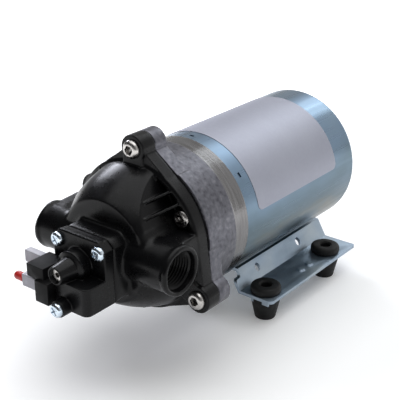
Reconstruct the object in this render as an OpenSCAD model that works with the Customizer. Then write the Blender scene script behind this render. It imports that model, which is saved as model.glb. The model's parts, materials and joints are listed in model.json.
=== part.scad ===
// Small diaphragm water pump for a caravan: a permanent-magnet motor in a plated steel can,
// a cast front housing, a three-chamber pump head and a pressure switch on the head's nose.
// Millimetres. The origin is on the floor, in the middle of the four foot holes.
// +X points out of the outlet port, +Y to the closed end of the motor, +Z up.

/* [Motor] */
// Outer radius of the motor can
can_r = 35; // [32:0.5:38]
// Length of the motor can
can_len = 95.4; // [88:0.2:110]
// Sheet thickness of the motor can
can_wall = 1.8; // [1.2:0.1:2.4]
// Corner radius of the can's closed end
can_edge_r = 3; // [1.5:0.5:5]
// How far the can's closed end stands past the base's rear edge
can_overhang = 0.5; // [0:0.1:4]
// Radius of the motor shaft
shaft_r = 4; // [3:0.25:4.5]
// Length of the armature's iron stack
stack_len = 42; // [30:1:46]
// Slots in the armature's iron stack
slot_count = 12; // [8:1:14]
// Radial thickness of a field magnet
magnet_t = 6.4; // [4:0.2:8]
// Angle that one field magnet covers
magnet_deg = 130; // [100:5:150]
// Gap between the magnets and the armature
air_gap = 0.7; // [0.4:0.1:1.2]
// Radius of the commutator
commutator_r = 11; // [9:0.5:12]
// Length of the commutator
commutator_len = 14; // [12:0.5:18]
// Width of a carbon brush around the commutator
brush_w = 6; // [4:0.5:7]
// Length of a carbon brush along the shaft
brush_len = 8; // [6:0.5:9]

/* [Rating label] */
// Length of the bare label along the can
label_len = 67.5; // [30:0.5:80]
// Distance of the label from the can's open edge
label_setback = 8.8; // [4:0.2:14]
// Angle of the label's lower edges above the horizontal
label_deg = 8.6; // [0:0.2:40]
// Thickness of the label film
label_t = 0.15; // [0.1:0.05:0.4]

/* [Bearings] */
// Outer radius of a shaft bearing
bearing_r = 11; // [9.5:0.5:12]
// Width of a shaft bearing
bearing_w = 7; // [6:0.5:8]
// Balls in a bearing
ball_count = 8; // [6:1:9]

/* [Front housing] */
// Length of the cast front housing outside the can
housing_len = 28.5; // [27:0.5:36]
// Radius of the housing's pump end
housing_r = 36; // [35:0.25:38]
// Length of the housing's stepped band next to the can
step_len = 10; // [6:0.5:14]
// Thickness of the bearing wall at the housing's back
bearing_wall = 8.5; // [8:0.25:10]
// Thickness of the cast screw ears
cast_ear_t = 7.5; // [5:0.5:10]
// Radius at which the flats beside the cast ears end
cast_flank_r = 35.4; // [35:0.1:35.8]
// Length of the spigot inside the can
spigot_len = 6; // [3:0.5:9]

/* [Pump head] */
// Radius of the head's flange
flange_r = 35; // [34.5:0.25:36]
// Thickness of the flange rim
flange_t = 7; // [6:0.25:9]
// Thickness of the head's screw ears
ear_t = 8; // [6:0.5:10]
// Radius of the circle of ear screws
ear_ring_r = 40.3; // [39:0.1:43]
// Radius of one screw ear
ear_r = 6.3; // [5.2:0.1:7]
// Angle from a screw ear to the end of its straight flank
flank_deg = 31; // [28:0.5:33]
// Width of the rim that stands round the pockets
rim_w = 3; // [2:0.25:4]
// Height of the pocket floors above the joint
pocket_floor = 4; // [3:0.25:5]
// Radius of the dome where it leaves the flange
dome_base_r = 33.9; // [32:0.1:34.2]
// Radius of the dome's front face
dome_front_r = 23.4; // [22.5:0.1:25]
// Height of the dome's front face above the joint
dome_h = 28; // [27:0.25:31]
// Radius of the dome's curved flank
dome_arc_r = 52; // [30:1:90]
// Distance of the pocket flats from the pump's axis
flat_r = 25.3; // [25:0.1:26.5]
// How much farther out the flats of the inlet-side and the lower pocket lie
far_flat_out = 3.2; // [2:0.1:3.6]
// Radius of the flange's pads round the screws of those two pockets
pocket_pad_r = 7.6; // [6.5:0.1:8]
// Thickness of the ribs in the pockets
rib_t = 1.1; // [0.8:0.1:1.6]
// Distance between neighbouring ribs
rib_pitch = 6.2; // [5:0.2:6.4]
// Radius of the circle of inner head screws
inner_ring_r = 29.2; // [28.5:0.1:29.5]

/* [Ports] */
// Outer radius of a port's lip
port_r = 11.1; // [10.5:0.1:12]
// Length of a port's lip
lip_len = 2.6; // [1.5:0.1:4]
// How far a port's lip stands out round its body
lip_step = 0.6; // [0.3:0.1:1]
// Width of the web between a port and the flange
port_web_w = 19.2; // [12:0.2:19.6]
// Distance of a port's mouth from the pump's axis
port_reach = 38; // [36:0.5:44]
// Height of the port axis above the joint
port_h = 21.5; // [20.5:0.25:23]
// Wall radius of the threaded port
thread_r = 8.4; // [7.4:0.1:8.8]
// Depth of the threaded port
thread_len = 14; // [10:0.5:14]
// Radius of the duct behind the thread
duct_r = 5; // [4.6:0.1:5.4]
// Travel of the outlet check valve
poppet_travel = 2; // [1:0.1:2.4]

/* [Drive] */
// Tilt of the wobble journal
wobble_deg = 3.5; // [2:0.1:3.6]
// Radius of the circle of pistons
piston_ring_r = 13; // [12.6:0.1:13.2]
// Radius of a piston
piston_r = 6; // [5:0.1:6.2]
// Thickness of a piston
piston_t = 2.5; // [2.2:0.1:2.8]
// Radius of a pump chamber
chamber_r = 7.6; // [7.4:0.05:7.7]
// Thickness of the pump diaphragm
diaphragm_t = 1.6; // [1.4:0.1:2]
// Outer radius of the valve plate and the diaphragm
valve_plate_r = 23.5; // [23:0.1:23.7]
// Thickness of the valve plate
valve_plate_t = 7.5; // [7.2:0.1:8]

/* [Pressure switch] */
// Radius of the upright edge of the cover's lower block
block_edge_r = 3; // [1:0.25:4]
// Half width of the switch's seat on the head
seat_half_w = 14.7; // [14:0.1:16]
// Height of the switch's joint above the head's joint
seat_h = 37; // [36:0.25:42]
// Thickness of the cover's screw plate
cover_plate_t = 5.2; // [4.6:0.1:6.5]
// How far the cover's lower block stands out of the seat
block_reach = 16.5; // [13:0.25:19]
// How far the third screw boss stands out of the seat
boss_reach = 21; // [19:0.25:24]
// Length of the adjuster tower from the seat
tower_len = 19.3; // [18:0.1:22]
// Radius of the tower's tip
tower_tip_r = 3.9; // [3.7:0.1:4.5]
// Radius of the tower's foot
tower_foot_r = 7.4; // [6.8:0.1:7.5]
// Travel of the switch plunger
plunger_travel = 0.8; // [0.4:0.1:1]
// Active turns of the switch spring
spring_turns = 6; // [4:1:6]

/* [Mounting base] */
// Hole-to-hole distance of the feet across the pump
foot_pitch_x = 59.8; // [57:0.2:62]
// Hole-to-hole distance of the feet along the pump
foot_pitch_y = 55; // [46:0.5:60]
// Gap between the front feet and the base's bent-down lips
lip_gap = 0.1; // [0.1:0.1:4]
// Rear edge of the base behind the rear feet
base_rear_margin = 16.4; // [10:0.2:20]
// Sheet thickness of the base
base_t = 1.6; // [1.2:0.1:2]
// Width of the base beyond the foot holes on either side
base_side_margin = 8.7; // [8:0.1:13]
// Height of the foot flanges' top face above the floor
flange_z = 13.5; // [12:0.1:18]
// Height of the saddle's top face above the floor
saddle_z = 22.1; // [20.5:0.1:28]
// Half width between the bends at the foot flanges
bend_x = 20.3; // [19:0.1:21]
// Half width of the flat saddle
saddle_x = 15.2; // [12:0.1:16]

/* [Rubber feet] */
// Radius of a foot's top disc
foot_top_r = 7.5; // [6.5:0.1:8]
// Thickness of a foot's top disc
foot_top_t = 4; // [3:0.1:6]
// Radius of the neck in the base
foot_neck_r = 4.5; // [4:0.1:5.5]
// Radius of a foot below the base
foot_body_r = 7.1; // [6:0.1:8]
// Radius of a foot on the floor
foot_floor_r = 5.1; // [3.8:0.1:6]
// Radius of the fixing hole
foot_hole_r = 2.6; // [2:0.1:3]

/* [Fasteners] */
// Shank radius of the ear screws and inner head screws
head_screw_r = 2; // [1.5:0.1:2.2]
// Head radius of those screws
head_screw_head_r = 4.2; // [3.2:0.1:4.3]
// Shank radius of the cover screws
cover_screw_r = 1.6; // [1.2:0.1:1.9]
// Head radius of the cover screws
cover_screw_head_r = 3.2; // [2.6:0.1:3.3]

/* [Clearances] */
// Radial gap round a thread or a pressed-in piece
seat_gap = 0.05; // [0.02:0.01:0.08]
// Radial gap of a running fit
run_gap = 0.05; // [0.03:0.01:0.09]
// Gap round a loose cover, plate or insert
loose_gap = 0.1; // [0.05:0.05:0.2]
// Gap that keeps moving pieces apart
move_gap = 0.5; // [0.4:0.1:0.7]

/* [Hidden] */
$fn = 96;
eps = 0.01;
over = 1;

// Places along the pump's axis, as Y
axis_h = saddle_z + loose_gap + can_r;
can_rear_y = foot_pitch_y / 2 + base_rear_margin + can_overhang;
can_front_y = can_rear_y - can_len;
joint_y = can_front_y - housing_len;

// Heights along the axis, forward of the joint between housing and head
can_front_h = -housing_len;
can_rear_h = -housing_len - can_len;
can_floor_h = can_rear_h + can_wall;
can_inner_r = can_r - can_wall;
bearing_back_h = can_front_h + bearing_w;
web_front_h = can_front_h + bearing_wall;
rear_bearing_h = can_floor_h + bearing_w;

// Motor internals
commutator_rear_h = rear_bearing_h + 2;
commutator_front_h = commutator_rear_h + commutator_len;
winding_gap = 2.6;
armature_room = can_front_h - move_gap - commutator_front_h - winding_gap;
winding_t = min(8, (armature_room - stack_len) / 2);
stack_rear_h = commutator_front_h + winding_gap + winding_t;
stack_front_h = stack_rear_h + stack_len;
magnet_over = 7;
magnet_rear_h = stack_rear_h - magnet_over;
magnet_front_h = min(stack_front_h + magnet_over, can_front_h - spigot_len - move_gap);
magnet_outer_r = can_inner_r - loose_gap;
magnet_inner_r = magnet_outer_r - magnet_t;
stack_r = magnet_inner_r - air_gap;
winding_r = stack_r - 4;
slot_foot_r = 14;
slot_w = 6 * 12 / slot_count;
slot_mouth_w = 2.2;
card_t = 2;
card_rear_h = commutator_rear_h - 1;
card_hole_r = commutator_r + 2.4;
brush_mid_h = commutator_rear_h + commutator_len / 2;
brush_reach = 12;
holder_wall = 1;
holder_inner_r = commutator_r + 2.6;
brush_spring_len = 5;
holder_outer_r = commutator_r + brush_reach + brush_spring_len;
brush_spring_wire_r = 0.35;
brush_spring_turns = 3;

// Ball bearings
bearing_ring_t = (bearing_r - shaft_r) * 0.28;
ball_track_r = (bearing_r + shaft_r) / 2;
ball_r = (bearing_r - shaft_r) * 0.26;
ball_gap = 0.15;

// Wobble drive, in heights along the tilted journal
wobble_pivot_h = -diaphragm_t / 2;
wobble_front_h = -3.2;
wobble_plate_t = 2.4;
wobble_bearing_w = 6;
wobble_bearing_front_h = wobble_front_h - wobble_plate_t - 0.3;
wobble_bearing_rear_h = wobble_bearing_front_h - wobble_bearing_w;
journal_r = shaft_r + 3.2;
wobble_bearing_r = journal_r + 4.6;
wobble_ring_t = 1.3;
wobble_track_r = (journal_r + wobble_bearing_r) / 2;
wobble_ball_r = 1.2;
wobble_hub_t = 2.4;
piston_pad_r = piston_r + 0.3;
diaphragm_pad_r = chamber_r - 0.2;
diaphragm_hole_r = piston_pad_r + 0.5;
cam_hub_r = journal_r + 1.6;
cam_hub_t = 4;
cam_rear_h = web_front_h + move_gap;
shaft_front_h = wobble_bearing_front_h - 0.9;
shaft_rear_h = can_floor_h + 0.4;
piston_screw_r = 1.5;
piston_screw_head_r = 2.6;
drive_cavity_r = valve_plate_r - 1.6;

// Pump head
lobe_deg = [90, 210, 330];
pocket_deg = [30, 150, 270];
dome_base_h = flange_t - 1;
flank_bite = 0.8;
flank_top = [ear_ring_r - flank_bite, ear_r - flank_bite];
rim_edge = 0.6;
pocket_half_w = sqrt(flange_r * flange_r - flat_r * flat_r) + 0.5;
pocket_flats = [flat_r, flat_r + far_flat_out, flat_r + far_flat_out];
pocket_lip = 0.3;
recess_r = valve_plate_r + loose_gap;
chamber_depth = valve_plate_t - 2.1;
inlet_valve_ring_r = piston_ring_r + 3.6;
outlet_chamber_r = 9;
collar_r = 12.5;
inlet_chamber_r = 20.5;
inlet_chamber_h = 15;
outlet_top_h = seat_h - 4;
seal_wire_r = 0.75;
seal_ring_r = (outlet_chamber_r + collar_r) / 2;
rib_foot_r = flange_r - rim_w / 2;
rib_root = 0.6;
rib_marks = [[1, 2], [-2, -1], [-2, -1, 1, 2]];
port_chamfer = 0.8;
mouth_r = thread_r + 0.3;
mouth_depth = 1.8;
mouth_edge = 0.4;
inner_seat_h = pocket_floor + 1.4;
head_screw_len = 10;
screw_head_h = 2.8;

// Outlet check valve, as X
duct_end_x = port_reach - thread_len;
cage_t = 2;
cage_x = duct_end_x - cage_t - 0.6;
poppet_seat_r = duct_r - 2;
poppet_r = duct_r - 0.9;
poppet_t = 1.6;
poppet_stem_r = 1.2;
cage_hub_r = poppet_stem_r + 0.9;
check_wire_r = 0.3;
check_spring_r = 2.3;
check_turns = 4;
check_spring_len = check_turns * 2 * check_wire_r + poppet_travel + 1.4;
poppet_seat_x = cage_x - poppet_t - check_spring_len;

// Pressure switch, in heights above the head's joint
cover_face_h = seat_h + cover_plate_t;
block_front_h = seat_h + block_reach;
boss_front_h = seat_h + boss_reach;
tower_tip_h = seat_h + tower_len;
tower_step_h = cover_face_h + 6;
tower_neck_r = tower_tip_r + 1.3;
seat_top = 12.5;
seat_bottom = -15.8;
seat_chamfer = 3.4;
block_top = -3.4;
block_left = -3.5;
upper_screw_x = 11.5;
upper_screw_z = 8.2;
boss_screw_x = 2.4;
boss_screw_z = -13.6;
boss_r = 3.7;
strip_half_w = seat_half_w - seat_chamfer - 0.2;
strip_w = 2.2;
strip_margin = 0.4;
strip_rise = 0.4;
switch_disc_r = 8.6;
switch_disc_t = 1.2;
plunger_disc_r = 6;
plunger_rear_h = seat_h + 0.3;
plunger_disc_t = 1.5;
plunger_front_h = plunger_rear_h + plunger_disc_t;
cavity_r = 9;
cavity_front_h = plunger_front_h + plunger_travel + 0.6;
button_x = -7.6;
button_z = -10;
button_r = 1.3;
button_gap = 0.1;
arm_front_h = plunger_front_h - 0.2;
button_rear_h = arm_front_h + button_gap;
arm_w = 3.6;
arm_tip_r = arm_w / 2 + 0.4;
cap_r = 4;
cap_t = 1.2;
cap_turns_out = 1;
thread_pitch = 0.8;
bore_r = cap_r + 0.2;
cap_rear_h = tower_step_h - cap_t - thread_pitch * cap_turns_out - move_gap;
cap_front_h = cap_rear_h + cap_t;
bore_front_h = cap_front_h + thread_pitch * cap_turns_out + 0.4;
adjuster_r = 2.5;
adjuster_front_h = tower_tip_h - 1.6;
adjuster_socket_r = 1.3;
spring_wire_r = 0.35;
spring_mid_r = 3;

// Snap switch and its two terminals
snap_left = -11.4;
snap_right = block_left - 0.3;
snap_bottom = -14.7;
snap_split = -5.6;
snap_top = 0.3;
snap_front_h = block_front_h + 3.7;
shelf_left = -17.5;
shelf_right = -tower_foot_r - 0.3;
shelf_front_h = block_front_h + 2;
tab_w = 4.8;
tab_t = 0.8;
tab_len = 8;
tab_root = 3;
boot_w = 5.6;
boot_t = 3.6;
boot_len = 10.4;
stub_r = 1.9;
stub_len = 6;
front_tab_h = block_front_h - 0.4;
front_tab_z = -9.2;
rear_tab_h = block_front_h - 8.2;
rear_tab_z = -2.8;

// Mounting base
lip_t = 0.8;
base_w = foot_pitch_x + 2 * base_side_margin;
base_front_y = -foot_pitch_y / 2 - foot_body_r - lip_gap - lip_t;
base_rear_y = foot_pitch_y / 2 + base_rear_margin;
wall_rise = saddle_z - flange_z;
wall_run = bend_x - saddle_x;
wall_deg = atan2(wall_rise, wall_run);
bend_shift = base_t * tan(wall_deg / 2);
notch_depth = 4.6;
notch_z = flange_z + 4.8;
notch_round_r = 2;
notch_fillet_r = 1.4;
front_corner_r = 2.5;
rear_corner_r = 1;
wall_hole_r = 1.9;
wall_hole_y = [-17, 20];
wall_hole_up = 0.8;
pip_r = 2.4;
pip_h = 0.9;
pip_y = [1.4, 9.2];
pip_x = foot_pitch_x / 2 + 1.6;
lip_x = [foot_pitch_x / 2 - 2.5, base_w / 2 - 3.6];
lip_w = [1.4, 3.6];
lip_drop = 1.4;
base_screw_r = 2;
base_screw_head_r = 3.6;
base_screw_head_h = 2.2;
base_screw_y = [-20, 26];
foot_z_top = flange_z + foot_top_t;
foot_straight = 2.8;

// Outline of the dome's flank: an arc of known radius through its two ends
dome_rise = dome_h - dome_base_h;
dome_fall = dome_base_r - dome_front_r;
dome_chord = sqrt(dome_rise * dome_rise + dome_fall * dome_fall);
dome_depth = sqrt(dome_arc_r * dome_arc_r - dome_chord * dome_chord / 4);
dome_mid_r = (dome_base_r + dome_front_r) / 2 - dome_depth * dome_rise / dome_chord;
dome_mid_h = (dome_base_h + dome_h) / 2 - dome_depth * dome_fall / dome_chord;
function flank_r(h) = dome_mid_r + sqrt(pow(dome_arc_r, 2) - pow(h - dome_mid_h, 2));
function flank_point(share) = let (h = dome_base_h + dome_rise * share) [flank_r(h), h];
function flank_h(r) = dome_mid_h + sqrt(pow(dome_arc_r, 2) - pow(r - dome_mid_r, 2));

// Points on a quarter circle, from angle a to angle b
function arc(x, y, r, a, b, n = 6) =
    [for (i = [0:n]) let (t = a + (b - a) * i / n) [x + r * cos(t), y + r * sin(t)]];

// Stands a shape on the pump's axis at a height above the head's joint; its +Z then points forward
module on_axis(h = 0) {
    translate([0, joint_y - h, axis_h]) rotate([90, 0, 0]) children();
}

// The tilted frame of the wobble journal, with the same heights
module tilted() {
    on_axis(wobble_pivot_h) rotate([wobble_deg, 0, 0]) translate([0, 0, -wobble_pivot_h]) children();
}

// Copies at given angles on a circle; each copy's own +X points outward
module around(angles, radius) {
    for (a = angles) rotate([0, 0, a]) translate([radius, 0, 0]) children();
}

// A cylinder between two heights
module rod(r, low, high) {
    translate([0, 0, low]) cylinder(r = r, h = high - low);
}

// A tube between two heights
module tube(inner, outer, low, high) {
    difference() {
        rod(outer, low, high);
        rod(inner, low - over, high + over);
    }
}

// A box between two corners
module block(low, high) {
    translate(low) cube(high - low);
}

// A lens-headed screw standing on z = 0, with its shank below; driver 6 is a socket, 4 a cross
module screw(shank_r, shank_len, head_r, head_h, driver) {
    sphere_r = (head_r * head_r + head_h * head_h) / (2 * head_h);
    difference() {
        union() {
            rod(shank_r, -shank_len, eps);
            intersection() {
                translate([0, 0, head_h - sphere_r]) sphere(r = sphere_r);
                rod(head_r, 0, head_h + over);
            }
        }
        if (driver == 6)
            translate([0, 0, head_h * 0.4]) cylinder(r = head_r * 0.5, h = head_h, $fn = 6);
        if (driver == 4)
            for (a = [0, 90])
                rotate([0, 0, a])
                    block([-head_r * 0.6, -head_r * 0.11, head_h * 0.45],
                          [head_r * 0.6, head_r * 0.11, head_h + over]);
    }
}

// A helical spring along +Z as one unbroken tube of six sides and eight rings a turn
module coil(mid_r, wire_r, length, turns) {
    rings = turns * 8;
    sides = 6;
    rise = length - 2 * wire_r;
    points = [for (i = [0:rings], j = [0:sides - 1])
        let (a = 360 * i / 8, b = 360 * j / sides, r = mid_r + wire_r * cos(b))
        [r * cos(a), r * sin(a), wire_r + rise * i / rings + wire_r * sin(b)]];
    skin = [for (i = [0:rings - 1], j = [0:sides - 1])
        let (p = i * sides + j, q = i * sides + (j + 1) % sides)
        each [[p, q, p + sides], [q, q + sides, p + sides]]];
    near_end = [for (j = [1:sides - 2]) [0, j + 1, j]];
    far_end = [for (j = [1:sides - 2]) [rings * sides, rings * sides + j, rings * sides + j + 1]];
    echo(coil_gap = rise / turns - 2 * wire_r);
    polyhedron(points = points, faces = concat(skin, near_end, far_end));
}

// Motor

module motor_can() {
    color("lightsteelblue")
    difference() {
        on_axis(can_rear_h) {
            rotate_extrude()
                polygon(concat(
                    [[0, 0]],
                    arc(can_r - can_edge_r, can_edge_r, can_edge_r, -90, 0),
                    [[can_r, can_len], [can_inner_r, can_len]],
                    arc(can_inner_r - can_edge_r / 2, can_wall + can_edge_r / 2, can_edge_r / 2, 0, -90),
                    [[0, can_wall]]));
            tube(bearing_r + seat_gap, bearing_r + can_wall, can_wall - eps, can_wall + bearing_w);
        }
        on_axis(can_front_h)
            around([40, 90, 140, 220, 270, 320], can_r)
                block([-can_wall - over, -1.2, -4.6], [over, 1.2, -3.2]);
        base_screw_places() rod(base_screw_r + seat_gap, -over, can_wall + 2);
    }
}

module rating_label() {
    color("gainsboro")
    on_axis(can_front_h - label_setback - label_len)
        rotate([0, 0, label_deg])
            rotate_extrude(angle = 180 - 2 * label_deg)
                translate([can_r + eps, 0]) square([label_t, label_len]);
}

// What a round corner takes off a square one, with the round's centre at the origin
module corner_waste(r) {
    difference() {
        square(r + over);
        circle(r = r);
    }
}

module field_magnets() {
    color("dimgray")
    on_axis(magnet_rear_h)
        for (a = [0, 180])
            rotate([0, 0, a - magnet_deg / 2])
                rotate_extrude(angle = magnet_deg)
                    translate([magnet_inner_r, 0]) square([magnet_t, magnet_front_h - magnet_rear_h]);
}

module brush_card() {
    color("peru")
    on_axis()
        tube(card_hole_r, can_inner_r - loose_gap, card_rear_h, card_rear_h + card_t);
}

// Brush parts stand at the top and the bottom; their own +X points outward
module brush_places() {
    on_axis(brush_mid_h) around([90, 270], 0) children();
}

module brush_holders() {
    inner_w = brush_w / 2 + loose_gap;
    inner_h = brush_len / 2 + loose_gap;
    foot_h = card_rear_h + card_t - brush_mid_h;
    color("goldenrod")
    brush_places()
        difference() {
            block([holder_inner_r, -inner_w - holder_wall, foot_h],
                  [holder_outer_r + holder_wall, inner_w + holder_wall, inner_h + holder_wall]);
            block([holder_inner_r - over, -inner_w, -inner_h], [holder_outer_r, inner_w, inner_h]);
        }
}

module brushes() {
    color("darkslategray")
    brush_places()
        difference() {
            block([commutator_r - over, -brush_w / 2, -brush_len / 2],
                  [commutator_r + brush_reach, brush_w / 2, brush_len / 2]);
            rod(commutator_r + run_gap, -brush_len, brush_len);
        }
}

module brush_springs() {
    color("silver")
    brush_places()
        translate([commutator_r + brush_reach + eps, 0, 0])
            rotate([0, 90, 0])
                coil(brush_w * 0.3, brush_spring_wire_r, brush_spring_len - 2 * eps, brush_spring_turns);
}

// Both shaft bearings: in the can's closed end and in the front housing
module bearing_places() {
    on_axis(can_floor_h) children();
    on_axis(can_front_h) children();
}

module ball_groove(track_r, groove_r, width) {
    translate([0, 0, width / 2]) rotate_extrude() translate([track_r, 0]) circle(r = groove_r);
}

module ball_ring(track_r, r, width, count) {
    translate([0, 0, width / 2]) around([for (i = [0:count - 1]) 360 * i / count], track_r) sphere(r = r);
}

module bearing_outer_rings() {
    color("silver")
    bearing_places()
        difference() {
            tube(bearing_r - bearing_ring_t, bearing_r, 0, bearing_w);
            ball_groove(ball_track_r, ball_r + ball_gap, bearing_w);
        }
}

module bearing_inner_rings() {
    color("silver")
    bearing_places()
        difference() {
            tube(shaft_r + seat_gap, shaft_r + bearing_ring_t, 0.2, bearing_w);
            ball_groove(ball_track_r, ball_r + ball_gap, bearing_w);
        }
}

module bearing_balls() {
    color("whitesmoke")
    bearing_places() ball_ring(ball_track_r, ball_r, bearing_w, ball_count);
}

module motor_shaft() {
    color("silver")
    on_axis() rod(shaft_r, shaft_rear_h, shaft_front_h);
}

module armature_core() {
    color("slategray")
    on_axis(stack_rear_h)
        linear_extrude(stack_len)
            difference() {
                circle(r = stack_r);
                circle(r = shaft_r + seat_gap);
                for (i = [0:slot_count - 1])
                    rotate(360 * i / slot_count) {
                        translate([slot_foot_r, -slot_w / 2]) square([winding_r + 1.5 - slot_foot_r, slot_w]);
                        translate([winding_r, -slot_mouth_w / 2]) square([stack_r, slot_mouth_w]);
                    }
            }
}

module armature_windings() {
    color("sienna")
    on_axis() {
        for (h = [stack_rear_h - winding_t, stack_front_h])
            translate([0, 0, h])
                rotate_extrude()
                    polygon(concat(
                        [[shaft_r + 3, 0], [winding_r - 3, 0]],
                        arc(winding_r - 3, 3, 3, -90, 0),
                        arc(winding_r - 3, winding_t - 3, 3, 0, 90),
                        [[shaft_r + 3, winding_t]]));
        around([for (i = [0:slot_count - 1]) 360 * i / slot_count], 0)
            block([slot_foot_r + loose_gap, -slot_w / 2 + loose_gap, stack_rear_h - over],
                  [winding_r - loose_gap, slot_w / 2 - loose_gap, stack_front_h + over]);
    }
}

module commutator() {
    color("chocolate")
    on_axis(commutator_rear_h)
        difference() {
            tube(shaft_r + seat_gap, commutator_r, 0, commutator_len);
            around([for (i = [0:slot_count - 1]) 360 * (i + 0.5) / slot_count], commutator_r)
                block([-1.5, -0.3, -over], [over, 0.3, commutator_len - 2]);
        }
}

// Front housing and pump head

// End of an ear's straight flank, in the ear's own frame
function flank_end(radius) = radius * [cos(flank_deg), sin(flank_deg)];

// Outline of a round flange with three screw ears, whose flanks end at a given radius
module eared_outline(radius, end_r) {
    end = flank_end(end_r);
    circle(r = radius);
    around(lobe_deg, ear_ring_r) circle(r = ear_r);
    around(lobe_deg, 0)
        polygon([[end[0], -end[1]], [flank_top[0], -flank_top[1]], flank_top, end]);
}

// What the flats beside the cast ears take off the housing's round outline
module flank_waste() {
    lift = 0.05;
    end = flank_end(cast_flank_r + lift);
    around(lobe_deg, 0)
        for (side = [0, 1])
            mirror([0, side, 0])
                polygon([[flank_top[0], flank_top[1] + lift], end, 1.1 * end, [ear_ring_r, ear_r]]);
}

module front_housing() {
    band_r = can_r + 0.4;
    color("darkgray")
    on_axis()
        difference() {
            union() {
                rod(housing_r, can_front_h + step_len, eps - cast_ear_t);
                rod(band_r, can_front_h, can_front_h + step_len + eps);
                rod(can_inner_r - loose_gap, can_front_h - spigot_len, can_front_h + eps);
                translate([0, 0, -cast_ear_t]) linear_extrude(cast_ear_t) {
                    eared_outline(cast_flank_r, cast_flank_r);
                    difference() {
                        circle(r = housing_r);
                        flank_waste();
                    }
                }
            }
            rod(drive_cavity_r, web_front_h, over);
            rod(recess_r, -diaphragm_t, over);
            rod(bearing_r + seat_gap, can_front_h - over, bearing_back_h);
            rod(bearing_r - bearing_ring_t + 0.6, can_front_h - over, web_front_h + over);
            rod(can_inner_r - 4, can_front_h - spigot_len - over, can_front_h - 0.5);
            around(lobe_deg, ear_ring_r) rod(head_screw_r + seat_gap, -cast_ear_t - over, over);
            around(pocket_deg, inner_ring_r) rod(head_screw_r + seat_gap, -head_screw_len - 0.5, over);
        }
}

// One port with its lip and its web to the flange; its own +X points out of the mouth
module port_body() {
    translate([0, 0, port_h]) rotate([0, 90, 0]) {
        rod(port_r - lip_step, 0, port_reach - lip_len + eps);
        rod(port_r, port_reach - lip_len, port_reach - port_chamfer);
        translate([0, 0, port_reach - port_chamfer])
            cylinder(r1 = port_r, r2 = port_r - port_chamfer, h = port_chamfer);
    }
    intersection() {
        block([dome_front_r - 3, -port_web_w / 2, pocket_floor - 1], [flange_r, port_web_w / 2, port_h]);
        rod(flange_r - 0.2, 0, port_h + over);
    }
}

module port_bore() {
    translate([0, 0, port_h]) rotate([0, 90, 0]) {
        rod(thread_r, duct_end_x, port_reach + over);
        rod(mouth_r, port_reach - mouth_depth, port_reach + over);
        translate([0, 0, port_reach - mouth_edge])
            cylinder(r1 = mouth_r, r2 = mouth_r + mouth_edge, h = mouth_edge + eps);
    }
}

// Outline of the switch's seat and of its cover
module seat_outline() {
    polygon([[-seat_half_w, seat_bottom], [seat_half_w, seat_bottom],
             [seat_half_w, seat_top - seat_chamfer], [seat_half_w - seat_chamfer, seat_top],
             [-seat_half_w + seat_chamfer, seat_top], [-seat_half_w, seat_top - seat_chamfer]]);
}

module cover_screw_places() {
    for (side = [-1, 1]) translate([side * upper_screw_x, upper_screw_z, cover_face_h]) children();
    translate([boss_screw_x, boss_screw_z, boss_front_h]) children();
}

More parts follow.
